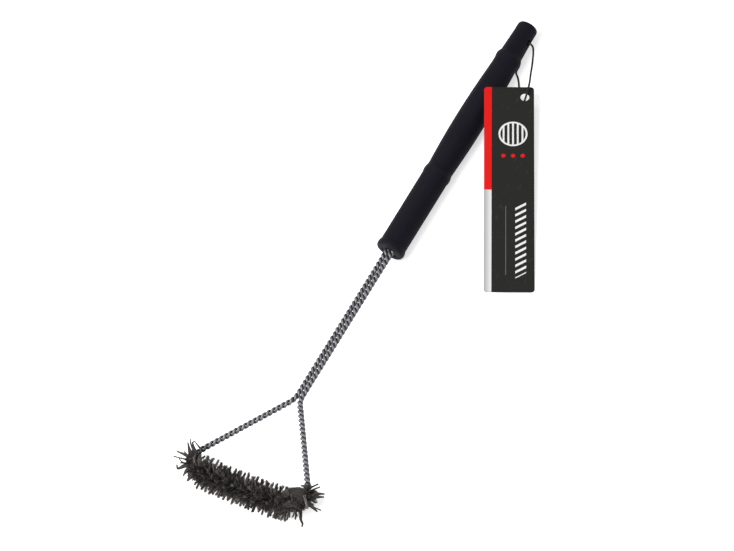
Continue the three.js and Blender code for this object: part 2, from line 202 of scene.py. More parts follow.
# %% [markdown]
# ## The cord's route
#
# A thin black braided cord is tied in a loop through the handle's cross hole and the tag's punched
# hole. It is a real length of limp cord, so its route is a list of points: out of the hole, over
# the tag's top edge, down through the tag, back under it and under the handle, and in again on the
# far side. A smooth curve runs through the points.

# %% Route and smoothing
CORD_RADIUS = 0.9 * MM
CORD_ROUTE_MM = [
    (257.7, -2.9, 13.7), (257.7, -6.5, 13.7), (257.7, -9.7, 13.6), (257.7, -12.2, 12.9),
    (257.1, -14.0, 11.2), (255.2, -15.0, 8.6), (250.3, -16.8, 6.2), (241.2, -20.6, 4.9),
    (231.2, -25.6, 6.4), (223.7, -30.6, 9.5), (219.4, -34.8, 14.2), (215.7, -37.0, 15.7),
    (211.7, -38.5, 15.8), (207.9, -39.5, 15.5), (205.0, -39.8, 14.6), (201.9, -39.9, 13.3),
    (197.9, -39.6, 11.5), (194.6, -38.1, 9.5), (193.0, -34.7, 8.0), (194.3, -30.9, 6.8),
    (206.0, -24.9, 3.3), (217.0, -18.4, 1.4), (225.4, -12.0, 1.0), (229.4, -7.6, 1.0),
    (232.6, -6.0, 1.0), (238.2, -5.7, 1.0), (242.4, -2.9, 1.0), (246.8, 2.5, 1.0),
    (250.5, 8.4, 1.1), (253.6, 12.6, 2.8), (256.0, 14.3, 6.2), (257.2, 13.8, 9.6),
    (257.7, 12.1, 12.2), (257.7, 9.5, 13.5), (257.7, 6.0, 13.7), (257.7, 2.9, 13.7),
]


def smooth(points, spans):
    """A Catmull-Rom curve through the points, with that many short spans between each two."""
    first, last = points[0] * 2 - points[1], points[-1] * 2 - points[-2]
    known = [first, *points, last]
    curve = []
    for a, b, c, d in zip(known, known[1:], known[2:], known[3:]):
        for k in range(spans):
            t = k / spans
            straight = b * 2 + (c - a) * t
            bent = (a * 2 - b * 5 + c * 4 - d) * t**2 + (b * 3 - a - c * 3 + d) * t**3
            curve.append((straight + bent) / 2)
    return curve + [points[-1]]


def path_length(points):
    return sum((b - a).length for a, b in zip(points, points[1:]))


CORD_SPANS = 14
cord_line = smooth([Vector(p) * MM for p in CORD_ROUTE_MM], CORD_SPANS)
print(f"cord length {path_length(cord_line) * 1000:.1f} mm")

# %% [markdown]
# ## Growing pieces along paths
#
# What follows a path or repeats is made by Geometry Nodes: a chain of edges goes in, a tree with
# named inputs sweeps or scatters along it, and the evaluated result is copied to a plain mesh. The
# tree's last nodes realise the instances and set the material, so that nothing live is left.


# %% Geometry Nodes helpers
def geometry_tree(name, sizes, counts):
    """A tree that takes a geometry, named sizes, named counts and a material, and its first node."""
    tree = bpy.data.node_groups.new(name, "GeometryNodeTree")
    inputs = [("Geometry", "Geometry"), *[(size, "Float") for size in sizes]]
    inputs += [*[(label, "Int") for label in counts], ("Material", "Material")]
    for label, kind in inputs:
        tree.interface.new_socket(label, in_out="INPUT", socket_type="NodeSocket" + kind)
    tree.interface.new_socket("Geometry", in_out="OUTPUT", socket_type="NodeSocketGeometry")
    graph = Graph(tree)
    return graph, graph.add("NodeGroupInput")


def end_tree(graph, geometry, material):
    """Realises instances, sets the material and hands the geometry to the output."""
    real = graph.add("GeometryNodeRealizeInstances", None, {0: geometry})
    coated = graph.add("GeometryNodeSetMaterial", None, {"Geometry": real, "Material": material})
    graph.add("NodeGroupOutput", None, {0: coated})
    return graph.tree


def chain(name, *paths):
    """A mesh object whose edges run along the paths."""
    corners, edges = [], []
    for path in paths:
        start = len(corners)
        corners += [tuple(p) for p in path]
        edges += [(k, k + 1) for k in range(start, len(corners) - 1)]
    mesh = bpy.data.meshes.new(name)
    mesh.from_pydata(corners, edges, [])
    return place(name, mesh)


def place(name, mesh):
    piece = bpy.data.objects.new(name, mesh)
    bpy.context.scene.collection.objects.link(piece)
    return piece


def grow(piece, tree, **inputs):
    """Runs the tree on a piece and keeps the result as its plain mesh."""
    modifier = piece.modifiers.new("recipe", "NODES")
    modifier.node_group = tree
    for socket in tree.interface.items_tree:
        key = socket.name.lower().replace(" ", "_")
        if socket.in_out == "INPUT" and key in inputs:
            modifier[socket.identifier] = inputs[key]
    graph = bpy.context.evaluated_depsgraph_get()
    grown = bpy.data.meshes.new_from_object(piece.evaluated_get(graph), depsgraph=graph)
    piece.modifiers.clear()
    piece.data = grown
    grown.name = piece.name
    grown.shade_smooth()
    return piece


# %% [markdown]
# ## Finishes
#
# Each finish is one Principled shader. Only colour, roughness, metalness and the surface's bump
# change over a piece; what is the same all over is set on the shader itself.


# %% Finish helpers
def colour(red, green, blue):
    """A colour as picked on screen, 0 to 255, in the linear values that shaders use."""
    parts = [c / 255 for c in (red, green, blue)]
    return (*[c / 12.92 if c <= 0.04045 else ((c + 0.055) / 1.055) ** 2.4 for c in parts], 1.0)


class Finish:
    """A new material, its graph and its object coordinates in metres."""

    def __init__(self, name):
        self.material = bpy.data.materials.new(name)
        self.material.use_nodes = True
        tree = self.material.node_tree
        tree.nodes.clear()
        self.graph = Graph(tree)
        self.here = self.graph.add("ShaderNodeTexCoord", out="Object")

    def noise(self, size, detail=2.0, roughness=0.5, stretch=(1, 1, 1)):
        """A noise from 0 to 1 with features of that size in metres, drawn out along an axis by stretch."""
        place_at = self.graph.vector("MULTIPLY", self.here, tuple(1 / s for s in stretch))
        sockets = {"Vector": place_at, "Scale": 1 / size, "Detail": detail, "Roughness": roughness}
        return self.graph.add("ShaderNodeTexNoise", None, sockets)

    def stored(self, name):
        """A number that the mesh keeps on its points under that name."""
        return self.graph.add("ShaderNodeAttribute", {"attribute_name": name}, out="Fac")

    def bump(self, height, distance, strength):
        """A normal for a height from 0 to 1 that stands for that distance in metres."""
        sockets = {"Height": height, "Distance": distance, "Strength": strength}
        return self.graph.add("ShaderNodeBump", None, sockets)

    def shade(self, **sockets):
        """The Principled shader and the output; names are the socket's own, in lower case."""
        shader = self.graph.add("ShaderNodeBsdfPrincipled")
        node = shader.socket.node
        for key, value in sockets.items():
            name = next(i.name for i in node.inputs if i.name.lower().replace(" ", "_") == key)
            self.graph.plug(node.inputs[name], value)
        self.graph.add("ShaderNodeOutputMaterial", None, {"Surface": shader})
        return self.material


# %% [markdown]
# ### Handle plastic
#
# The handle is moulded in a nearly black plastic with a violet cast. It has a fine grain and a few
# long rub marks; the raised rings and the collar's rim are polished a little by the hand and also
# get a little painted sheen, and the collar's front face gets a painted highlight. The grain is bump,
# because it is far too fine to model; rubs and polish change the gloss, and rubs, polish and painted
# sheen change the tone. The insert is the same kind of plastic without the wear.

# %% Handle plastic
GRIP_LENGTH = 265.5 * MM
STEM_LENGTH = 169 * MM
FRONT_RING_AT = 89.8 * MM
REAR_RING_AT = 225.8 * MM
COLLAR_X = JUNCTION.x + STEM_LENGTH
WEAR_AND_SHEEN_PLACES = ((3 * MM, 5 * MM), (FRONT_RING_AT, 3 * MM), (REAR_RING_AT, 3 * MM))
# The painted highlight on the collar's front face fades out between these distances from the face.
FACE_HIGHLIGHT_FROM = 0.2 * MM
FACE_HIGHLIGHT_TO = 2.4 * MM


def handle_plastic():
    """The grip's plastic. A place of wear and painted sheen is (distance from the collar's face, width)."""
    finish = Finish("handle_plastic")
    graph = finish.graph
    grain = finish.noise(0.45 * MM, detail=3.0)
    rubs = graph.step(finish.noise(2.2 * MM, detail=4.0, stretch=(14, 1, 1)), 0.52, 0.75)
    cloud = finish.noise(26 * MM, detail=2.0)
    along = graph.add("ShaderNodeSeparateXYZ", None, {0: finish.here})
    wear_and_sheen = 0
    for at, width in WEAR_AND_SHEEN_PLACES:
        away = graph.maths("ABSOLUTE", along - (COLLAR_X + at))
        wear_and_sheen = wear_and_sheen + (1 - graph.step(away, 0.0, width))
    base = graph.mix(cloud, colour(23, 21, 28), colour(28, 26, 34))
    # Rubs are real wear; the rings and the collar's rim are lightened by wear and by painted sheen.
    base = graph.mix(wear_and_sheen * 0.3 + rubs * 0.2, base, colour(34, 32, 38))
    # Painted highlight: the collar's front face is lightened towards a pale grey.
    face = 1 - graph.step(along, COLLAR_X + FACE_HIGHLIGHT_FROM, COLLAR_X + FACE_HIGHLIGHT_TO)
    base = graph.mix(face * 0.26, base, colour(58, 56, 64))
    rough = 0.6 - rubs * 0.12 - wear_and_sheen * 0.12 + cloud * 0.06
    normal = finish.bump(grain, 0.05 * MM, 0.5)
    return finish.shade(base_color=base, roughness=rough, normal=normal, specular_ior_level=0.05)


def insert_plastic():
    finish = Finish("insert_plastic")
    grain = finish.noise(0.6 * MM, detail=2.0)
    base = finish.graph.mix(grain, colour(16, 15, 17), colour(28, 27, 29))
    normal = finish.bump(grain, 0.05 * MM, 0.5)
    return finish.shade(base_color=base, roughness=0.6, normal=normal, specular_ior_level=0.12)


handle_finish = handle_plastic()
insert_finish = insert_plastic()
print("plastics:", handle_finish.name, insert_finish.name)

# %% [markdown]
# ### Steel wire
#
# The wire is drawn steel with a dull skin: mid grey, a little blue, with fine draw lines along it
# and darker, rougher patches. Painted shade darkens the crevices of the twist and makes them rougher,
# and the wire is darker still towards the head. The draw lines follow the wire, so they read the
# distances along and around it that the sweep keeps on its mesh. The crimp is the same steel, paler
# and without the painted shade.

# %% Steel wire
DRAW_LINES = 60
DRAW_LINE_LENGTH = 9 * MM
HEAD_DARK_FULL_BELOW = -238 * MM
HEAD_DARK_NONE_ABOVE = -228 * MM


def steel_wire(name, light, dark, painted_twist_shade):
    """Drawn steel between two greys; the last argument is the strength of painted shade in the twist."""
    finish = Finish(name)
    graph = finish.graph
    around = finish.stored("around") * DRAW_LINES
    lines_at = graph.combined(around, finish.stored("along") / DRAW_LINE_LENGTH, 0.0)
    lines = graph.add("ShaderNodeTexNoise", None, {"Vector": lines_at, "Scale": 1.0, "Detail": 3.0})
    patches = graph.step(finish.noise(2.6 * MM, detail=4.0), 0.4, 0.7)
    # Painted shade: darker where the wire's surface faces in towards the rod's middle, in the crevices.
    depth = 1 - graph.step(finish.stored("crest"), 0.15, 0.92)
    base = graph.mix(patches * 0.45 + lines * 0.35, light, dark)
    # Darker towards the head; the darkening fades out near the ends of the arms.
    forward = graph.add("ShaderNodeSeparateXYZ", None, {0: finish.here})
    head_dark = 1 - graph.step(forward, HEAD_DARK_FULL_BELOW, HEAD_DARK_NONE_ABOVE)
    # Painted shade in the crevices and the darkening towards the head, both darker and rougher.
    painted_shade_and_head_dark = graph.maths("MINIMUM", depth * painted_twist_shade + head_dark * 0.8, 0.95)
    base = graph.mix(painted_shade_and_head_dark, base, colour(24, 23, 25))
    rough = 0.34 + patches * 0.18 + painted_shade_and_head_dark * 0.2
    normal = finish.bump(lines, 0.03 * MM, 0.6)
    return finish.shade(base_color=base, metallic=0.5, roughness=rough, normal=normal)


wire_finish = steel_wire("steel_wire", colour(138, 138, 143), colour(70, 70, 75), 0.74)
crimp_finish = steel_wire("crimp_steel", colour(168, 170, 174), colour(96, 97, 100), 0.0)
print("steels:", wire_finish.name, crimp_finish.name)

# %% [markdown]
# ### Bristle wire and cord yarn
#
# The bristles are thin oiled steel, almost black with a brown cast. Each strand has its own tone,
# kept on its points, so that one finish serves thousands of strands. The cord is braided from matt
# black yarn, whose fuzz is a fine noise.


# %% Bristle wire and cord yarn
def bristle_steel():
    finish = Finish("bristle_steel")
    graph = finish.graph
    spots = graph.step(finish.noise(1.6 * MM, detail=3.0), 0.5, 0.72)
    base = graph.mix(finish.stored("tone"), colour(47, 43, 42), colour(160, 154, 151))
    base = graph.mix(spots * 0.3, base, colour(84, 70, 60))
    normal = finish.bump(finish.noise(0.3 * MM), 0.02 * MM, 0.5)
    return finish.shade(base_color=base, metallic=0.25, roughness=0.45 + spots * 0.15, normal=normal)


def cord_yarn():
    finish = Finish("cord_yarn")
    graph = finish.graph
    fuzz = finish.noise(0.25 * MM, detail=3.0)
    base = graph.mix(fuzz, colour(14, 14, 15), colour(40, 39, 41))
    normal = finish.bump(fuzz, 0.05 * MM, 0.6)
    return finish.shade(base_color=base, roughness=0.85 - fuzz * 0.1, normal=normal, specular_ior_level=0.3)


bristle_finish = bristle_steel()
cord_finish = cord_yarn()
print("finishes so far:", [m.name for m in bpy.data.materials])

# %% [markdown]
# ## The braided cord
#
# A braid is a tube whose surface rises where one yarn crosses over another. The tree keeps the
# distance along the cord on its path and the share of a turn on its round section, sweeps one along
# the other, and pushes each point out by the higher of the two families of yarn. Modelling each
# yarn would cost far more faces for a cord this thin.

# %% Cord
BRAID_PITCH = 3.4 * MM
BRAID_YARNS = 4
BRAID_HEIGHT = 0.12 * MM
YARN_BEDDING = 0.7
CORD_STEP = 0.3 * MM
CORD_SIDES = 20


def keep(graph, geometry, name, value, kind="FLOAT"):
    """The geometry with a value kept on its points under that name."""
    sockets = {"Geometry": geometry, "Name": name, "Value": value}
    return graph.add("GeometryNodeStoreNamedAttribute", {"data_type": kind}, sockets)


def kept(graph, name, kind="FLOAT"):
    """A value that `keep` put on the points."""
    return graph.add("GeometryNodeInputNamedAttribute", {"data_type": kind}, {"Name": name})


def even_path(graph, start):
    """The chain of edges that comes in, as a curve with points at even steps."""
    path = graph.add("GeometryNodeMeshToCurve", None, {0: start})
    sockets = {"Curve": path, "Length": start.other("Step")}
    return graph.add("GeometryNodeResampleCurve", {"mode": "LENGTH"}, sockets)


def section(graph, radius, sides):
    """A regular ring of points, to be swept along a path."""
    return graph.add("GeometryNodeCurvePrimitiveCircle", None, {"Resolution": sides, "Radius": radius})


def swept(graph, path, ring):
    """The ring swept along the path, with closed ends."""
    sockets = {"Curve": path, "Profile Curve": ring, "Fill Caps": True}
    return graph.add("GeometryNodeCurveToMesh", None, sockets)


def measured_tube(graph, path, radius, sides):
    """A round tube along a path, with its places along and around kept on its points."""
    along = graph.add("GeometryNodeSplineParameter", out="Length")
    around = graph.add("GeometryNodeSplineParameter", out="Factor")
    ring = keep(graph, section(graph, radius, sides), "around", around)
    return swept(graph, keep(graph, path, "along", along), ring)


def braid_tree():
    sizes = ("Radius", "Step", "Pitch", "Height")
    graph, start = geometry_tree("braided_cord", sizes, ("Sides", "Yarns"))
    inner = start.other("Radius") - start.other("Height") * YARN_BEDDING
    tube = measured_tube(graph, even_path(graph, start), inner, start.other("Sides"))
    turn = kept(graph, "around") * start.other("Yarns")
    climb = kept(graph, "along") / start.other("Pitch") * start.other("Yarns")
    one = graph.maths("ABSOLUTE", graph.maths("SINE", (turn + climb) * math.pi))
    two = graph.maths("ABSOLUTE", graph.maths("SINE", (turn - climb) * math.pi))
    normal = graph.add("GeometryNodeInputNormal")
    offset = graph.scaled(normal, graph.maths("MAXIMUM", one, two) * start.other("Height"))
    tube = graph.add("GeometryNodeSetPosition", None, {"Geometry": tube, "Offset": offset})
    return end_tree(graph, tube, start.other("Material"))


def braided(name, line, radius, sides, height):
    sizes = {"radius": radius, "step": CORD_STEP, "pitch": BRAID_PITCH, "height": height}
    counts = {"sides": sides, "yarns": BRAID_YARNS}
    return grow(chain(name, line), braid_tree(), **sizes, **counts, material=cord_finish)


hang_cord = braided("braided_cord", cord_line, CORD_RADIUS, CORD_SIDES, BRAID_HEIGHT)
report(hang_cord, "hang_cord")

# %% [markdown]
# ### The knot
#
# The loop is closed by an overhand knot that is pulled into the cross hole. A trefoil curve is the
# simplest closed line with that knot in it, and the same braid runs along it.

# %% Knot
KNOT_SCALE = 0.42 * MM
KNOT_DEPTH = 2.2
KNOT_POINTS = 60
KNOT_SIDES = 12
KNOT_TIGHTNESS = 0.75
knot_centre = sum(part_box("cord_knot"), Vector()) / 2


def trefoil(k):
    t = 2 * math.pi * k / KNOT_POINTS
    across = math.sin(t) + 2 * math.sin(2 * t)
    upward = math.cos(t) - 2 * math.cos(2 * t)
    return knot_centre + Vector((across, -KNOT_DEPTH * math.sin(3 * t), upward)) * KNOT_SCALE


knot_line = [trefoil(k) for k in range(KNOT_POINTS + 1)]
cord_knot = braided("tied_knot", knot_line, KNOT_TIGHTNESS * CORD_RADIUS, KNOT_SIDES, BRAID_HEIGHT / 2)
report(cord_knot, "cord_knot")

# %% [markdown]
# ## The handle
#
# The handle is a turned shape: a profile of radius against length, spun round the axis. The same
# few sizes shape it as on a lathe drawing: a rounded collar with a socket, a nearly straight fore
# grip, a thin ring, the palm's belly, a second ring and a slimmer end with a rounded tip.

# %% Handle profile
COLLAR_FACE_RADIUS = 11.4 * MM
COLLAR_RADIUS = 14 * MM
COLLAR_CREST = 3.8 * MM
SOCKET_RADIUS = 7.7 * MM
SOCKET_DEPTH = 44.9 * MM
SOCKET_LIP = 0.5 * MM
NECK_RADIUS = 12.95 * MM
NECK_AT = 9.4 * MM
FORE_RADIUS = 13 * MM
RING_RISE = 0.62 * MM
RING_HALF_WIDTH = 4.5 * MM
WAIST_RADIUS = 12.63 * MM
WAIST_AT = 97 * MM
BELLY_RADIUS = 14.15 * MM
BELLY_AT = 147 * MM
FRONT_SWELL = 0.69
REAR_SWELL = 0.76
TAIL_RADIUS = 12.15 * MM
TAIL_AT = 216 * MM
END_NECK_RADIUS = 11.05 * MM
END_RADIUS = 10.1 * MM
END_STRAIGHT = 11.5 * MM
TIP_ROUND = 4.5 * MM


def mixed(a, b, share):
    return a + (b - a) * share


def bend(points, count):
    """A Bezier curve with these control points, without its first point."""
    curve = []
    for k in range(1, count + 1):
        left = [Vector(p) for p in points]
        while len(left) > 1:
            left = [mixed(a, b, k / count) for a, b in zip(left, left[1:])]
        curve.append(left[0])
    return curve


def ring_profile(before, at, after):
    crest = before + RING_RISE
    start, end = at - RING_HALF_WIDTH, at + RING_HALF_WIDTH
    rise = bend([(start, before), (at - RING_HALF_WIDTH / 2, crest), (at, crest)], 8)
    fall = bend([(at, crest), (at + RING_HALF_WIDTH / 2, crest), (end, after)], 8)
    return [Vector((start, before)), *rise, *fall]


def grip_profile():
    """Points of (distance from the collar's face, radius), from the socket's floor to the tip."""
    middle = (COLLAR_CREST + NECK_AT) / 2
    profile = [Vector((SOCKET_DEPTH, 0)), Vector((SOCKET_DEPTH, SOCKET_RADIUS))]
    profile.append(Vector((SOCKET_LIP, SOCKET_RADIUS)))
    profile += bend([(SOCKET_LIP, SOCKET_RADIUS), (0, SOCKET_RADIUS), (0, SOCKET_RADIUS + SOCKET_LIP)], 5)
    profile.append(Vector((0, COLLAR_FACE_RADIUS)))
    profile += bend([(0, COLLAR_FACE_RADIUS), (0, COLLAR_RADIUS), (COLLAR_CREST, COLLAR_RADIUS)], 12)
    crest, neck = (COLLAR_CREST, COLLAR_RADIUS), (NECK_AT, NECK_RADIUS)
    profile += bend([crest, (middle, COLLAR_RADIUS), (middle, NECK_RADIUS), neck], 12)
    profile += ring_profile(FORE_RADIUS, FRONT_RING_AT, WAIST_RADIUS)
    swell = [
        Vector((WAIST_AT, WAIST_RADIUS)),
        Vector(((WAIST_AT + BELLY_AT) / 2, mixed(WAIST_RADIUS, BELLY_RADIUS, FRONT_SWELL))),
        Vector((BELLY_AT, BELLY_RADIUS)),
        Vector(((TAIL_AT + BELLY_AT) / 2, mixed(TAIL_RADIUS, BELLY_RADIUS, REAR_SWELL))),
        Vector((TAIL_AT, TAIL_RADIUS)),
    ]
    profile += smooth(swell, 10)
    profile += ring_profile(TAIL_RADIUS, REAR_RING_AT, END_NECK_RADIUS)
    profile.append(Vector((GRIP_LENGTH - END_STRAIGHT, END_RADIUS)))
    rounding = GRIP_LENGTH - TIP_ROUND
    profile.append(Vector((rounding, END_RADIUS)))
    tip = [(rounding, END_RADIUS), (GRIP_LENGTH, END_RADIUS), (GRIP_LENGTH, END_RADIUS - TIP_ROUND)]
    profile += bend(tip, 10)
    profile.append(Vector((GRIP_LENGTH, 0)))
    return profile


# %% [markdown]
# The spin is written out as rings of points, with one point where the profile meets the axis, so
# both ends close cleanly. The cross hole is then cut with a waisted cutter, which leaves the small
# countersink that a cord hole has so that it doesn't chafe.

# %% Turned handle
GRIP_SIDES = 128
CORD_HOLE_FROM_TIP = 17.5 * MM
CORD_HOLE_SIDES = 32
CORD_HOLE_MOUTH_MM = [(9.2, 2.6), (10.2, 2.9), (10.8, 3.7), (14, 5.2)]


def turned(name, profile, sides):
    """A closed mesh spun round the X axis from (x, radius) points that start and end on the axis."""
    mesh = bpy.data.meshes.new(name)
    build = bmesh.new()
    rings = []
    for x, radius in profile:
        if radius == 0:
            rings.append([build.verts.new((x, 0, 0))] * sides)
            continue
        angles = [2 * math.pi * k / sides for k in range(sides)]
        rings.append([build.verts.new((x, radius * math.cos(a), radius * math.sin(a))) for a in angles])
    for near, far in zip(rings, rings[1:]):
        for k in range(sides):
            j = (k + 1) % sides
            corners = dict.fromkeys([near[k], near[j], far[j], far[k]])
            build.faces.new(list(corners))
    bmesh.ops.recalc_face_normals(build, faces=build.faces)
    build.to_mesh(mesh)
    build.free()
    return mesh


def cut(piece, cutter):
    """Cuts the cutter out of the piece and removes the cutter."""
    modifier = piece.modifiers.new("cut", "BOOLEAN")
    modifier.operation = "DIFFERENCE"
    modifier.solver = "EXACT"
    modifier.object = cutter
    graph = bpy.context.evaluated_depsgraph_get()
    mesh = bpy.data.meshes.new_from_object(piece.evaluated_get(graph), depsgraph=graph)
    piece.modifiers.clear()
    piece.data = mesh
    bpy.data.objects.remove(cutter)


def cord_hole_cutter():
    """A waisted cutter along Y. Its two mouths, (distance from the axis, radius), flare alike."""
    near_mouth = [(-x, radius) for x, radius in reversed(CORD_HOLE_MOUTH_MM)]
    flare = [*near_mouth, *CORD_HOLE_MOUTH_MM]
    profile = [Vector((x * MM, radius * MM)) for x, radius in flare]
    profile = [Vector((profile[0].x, 0)), *profile, Vector((profile[-1].x, 0))]
    mesh = turned("cord_hole", profile, CORD_HOLE_SIDES)
    mesh.transform(Matrix.Rotation(math.pi / 2, 4, "Z"))
    mesh.transform(Matrix.Translation((GRIP_LENGTH - CORD_HOLE_FROM_TIP, 0, 0)))
    return place("cord_hole", mesh)


def make_handle():
    handle = place("turned_grip", turned("turned_grip", grip_profile(), GRIP_SIDES))
    cut(handle, cord_hole_cutter())
    handle.data.transform(Matrix.Translation((STEM_LENGTH, 0, 0)))
    settle(handle.data)
    handle.data.shade_smooth()
    handle.data.materials.clear()
    handle.data.materials.append(handle_finish)
    return handle


turned_grip = make_handle()
report(turned_grip, "handle_grip")

# %% [markdown]
# ## The twisted wire
#
# One rod of two wires leaves the handle, runs down the stem, round the triangle and back up the
# stem into the handle. Its centre line is drawn first: straight stem, a short bend at the junction,
# the arm, a rounded corner and half of the bowed bar, and then the mirror image. Each wire is a
# left-handed helix round that line, a little looser on the arms and the bar than on the stem. The
# loop's length holds a part of a turn too much, so that the stem's two rods lie a little out of step,
# as in the photograph. The photographed brush's right corner is pulled back a little.

# %% Rod line
WIRE_RADIUS = 1.41 * MM
ROD_OFFSET = 2.74 * MM
HIDDEN_END = STEM_LENGTH + 40.9 * MM
STEM_BEND = 12 * MM
CORNER_LEAD = 15 * MM
ARM_REACH = 76 * MM
ARM_SPREAD = 61.2 * MM
CORNER_OUT = 68.5 * MM
CORNER_REACH = 94 * MM
BAR_END_REACH = 97 * MM
BAR_END_SPREAD = 54 * MM
RIGHT_END_BACK = 2.2 * MM
BAR_BOW = 2.8 * MM
TWIST_PITCH = 10 * MM
NESTING_TURN = 0.11


def straight(a, b, count):
    return [mixed(Vector(a), Vector(b), k / count) for k in range(1, count + 1)]


def rod_parts(side):
    """The rod's centre line on one side, in three parts: stem and arm, corner, and half of the bar."""
    start = Vector((HIDDEN_END, side * ROD_OFFSET, 0))
    turn = Vector((0, side * ROD_OFFSET, 0))
    arm_end = Vector((-ARM_REACH, side * ARM_SPREAD, 0))
    arm = (arm_end - turn).normalized()
    bend_start = Vector((STEM_BEND / 2, side * ROD_OFFSET, 0))
    bend_end = turn + arm * (STEM_BEND / 2)
    stem = [start, *straight(start, bend_start, 40), *bend([bend_start, turn, bend_end], 12)]
    stem += straight(bend_end, arm_end, 20)
    outer = arm_end + arm * CORNER_LEAD
    back = RIGHT_END_BACK if side < 0 else 0
    corner_bend = Vector((-CORNER_REACH - back, side * CORNER_OUT, 0))
    bar_end = Vector((-BAR_END_REACH - back, side * BAR_END_SPREAD, 0))
    corner = bend([arm_end, (outer + corner_bend) / 2, corner_bend, bar_end], 24)
    middle = Vector((-(BAR_END_REACH + BAR_BOW), 0, 0))
    control = Vector((middle.x, side * BAR_END_SPREAD / 2, 0))
    half_bar = bend([bar_end, control, middle], 24)
    return stem, [arm_end, *corner], [bar_end, *half_bar]


left_parts, right_parts = rod_parts(1), rod_parts(-1)
left_line, right_line = (stem + corner[1:] + bar[1:] for stem, corner, bar in (left_parts, right_parts))
rod_line = left_line + right_line[-2::-1]
rod_length = path_length(rod_line)
twist_pitch = rod_length / (round(rod_length / TWIST_PITCH) + NESTING_TURN)
print(f"rod length {rod_length * 1000:.0f} mm, pitch {twist_pitch * 1000:.3f} mm")


# %% Twisted wires
WIRE_STEP = 0.55 * MM
WIRE_SIDES = 14
ARM_LOOSENESS = 0.15


def level_across(graph, tangent):
    """The level direction at right angles to a path."""
    return graph.vector("NORMALIZE", graph.vector("CROSS_PRODUCT", (0.0, 0.0, 1.0), tangent))


def twist_tree():
    sizes = ("Wire Radius", "Pitch", "Phase", "Step", "Stem", "Looseness")
    graph, start = geometry_tree("twisted_wire", sizes, ("Sides",))
    path = even_path(graph, start)
    travelled = graph.add("GeometryNodeSplineParameter", out="Length")
    angle = start.other("Phase") - travelled / start.other("Pitch") * (2 * math.pi)
    across = level_across(graph, graph.add("GeometryNodeInputTangent"))
    total = graph.add("GeometryNodeCurveLength", None, {0: path})
    from_end = graph.maths("MINIMUM", travelled, total - travelled)
    stem = start.other("Stem")
    loose = graph.step(from_end, stem, stem + STEM_BEND) * start.other("Looseness")
    radius = start.other("Wire Radius")
    swing = radius * (1 + loose)
    sideways = graph.scaled(across, graph.maths("COSINE", angle) * swing)
    upward = graph.combined(0.0, 0.0, graph.maths("SINE", angle) * swing)
    path = keep(graph, path, "outward", graph.vector("ADD", sideways, upward), "FLOAT_VECTOR")
    outward = kept(graph, "outward", "FLOAT_VECTOR")
    path = graph.add("GeometryNodeSetPosition", None, {"Geometry": path, "Offset": outward})
    wire = measured_tube(graph, path, radius, start.other("Sides"))
    normal = graph.add("GeometryNodeInputNormal")
    crest = graph.vector("DOT_PRODUCT", normal, graph.vector("NORMALIZE", outward), out="Value")
    return end_tree(graph, keep(graph, wire, "crest", crest), start.other("Material"))


def make_wire(name, phase):
    sizes = {"wire_radius": WIRE_RADIUS, "step": WIRE_STEP, "sides": WIRE_SIDES, "stem": HIDDEN_END}
    twist = {"pitch": twist_pitch, "phase": phase, "looseness": ARM_LOOSENESS}
    wire = grow(chain(name, rod_line), twist_tree(), **sizes, **twist, material=wire_finish)
    settle(wire.data)
    return wire


wire_a = make_wire("twisted_wire_a", 0.0)
wire_b = make_wire("twisted_wire_b", math.pi)
report(wire_a, "left_wire_a", "right_wire_a")
report(wire_b, "left_wire_b", "right_wire_b")

# %% [markdown]
# ## The bristles
#
# A twisted wire brush is made by laying cut wires between the core wires before they are twisted.
# The twist winds them into a double spiral, and they clump into tufts. Hair curves would also draw
# them, but they don't export, so they are thin solids: one tree scatters the tufts along a path,
# gives each tuft a place on the spiral, and draws its strands together at their tips. Each strand
# is a bent line swept with a three-sided section, which is enough for something so thin, and it
# keeps its own tone for the finish.

# %% Strand helpers
STRAND_SIDES = 3


def chance(graph, low, high, which, seed):
    """A random number between low and high for each value of which."""
    sockets = {2: low, 3: high, "ID": which, "Seed": seed}
    return graph.add("FunctionNodeRandomValue", {"data_type": "FLOAT"}, sockets, out=1)


def scatter(graph, which, seed):
    """A random vector, each of whose parts is between -1 and 1."""
    return graph.combined(*[chance(graph, -1.0, 1.0, which, seed + k) for k in range(3)])


def scattered_lines(graph, sockets, offset):
    """Instances of a line made real and then pushed out of place along their length."""
    placed = graph.add("GeometryNodeInstanceOnPoints", None, sockets)
    placed = graph.add("GeometryNodeRealizeInstances", None, {0: placed})
    return graph.add("GeometryNodeSetPosition", None, {"Geometry": placed, "Offset": offset})


def end_strands(graph, start, lines):
    """Sweeps the lines with a three-sided section and ends the tree."""
    strands = swept(graph, lines, section(graph, start.other("Thickness"), STRAND_SIDES))
    return end_tree(graph, strands, start.other("Material"))


# %% Bristle tree
PATH_MARGIN = 0.004
STRAND_POINTS = 4


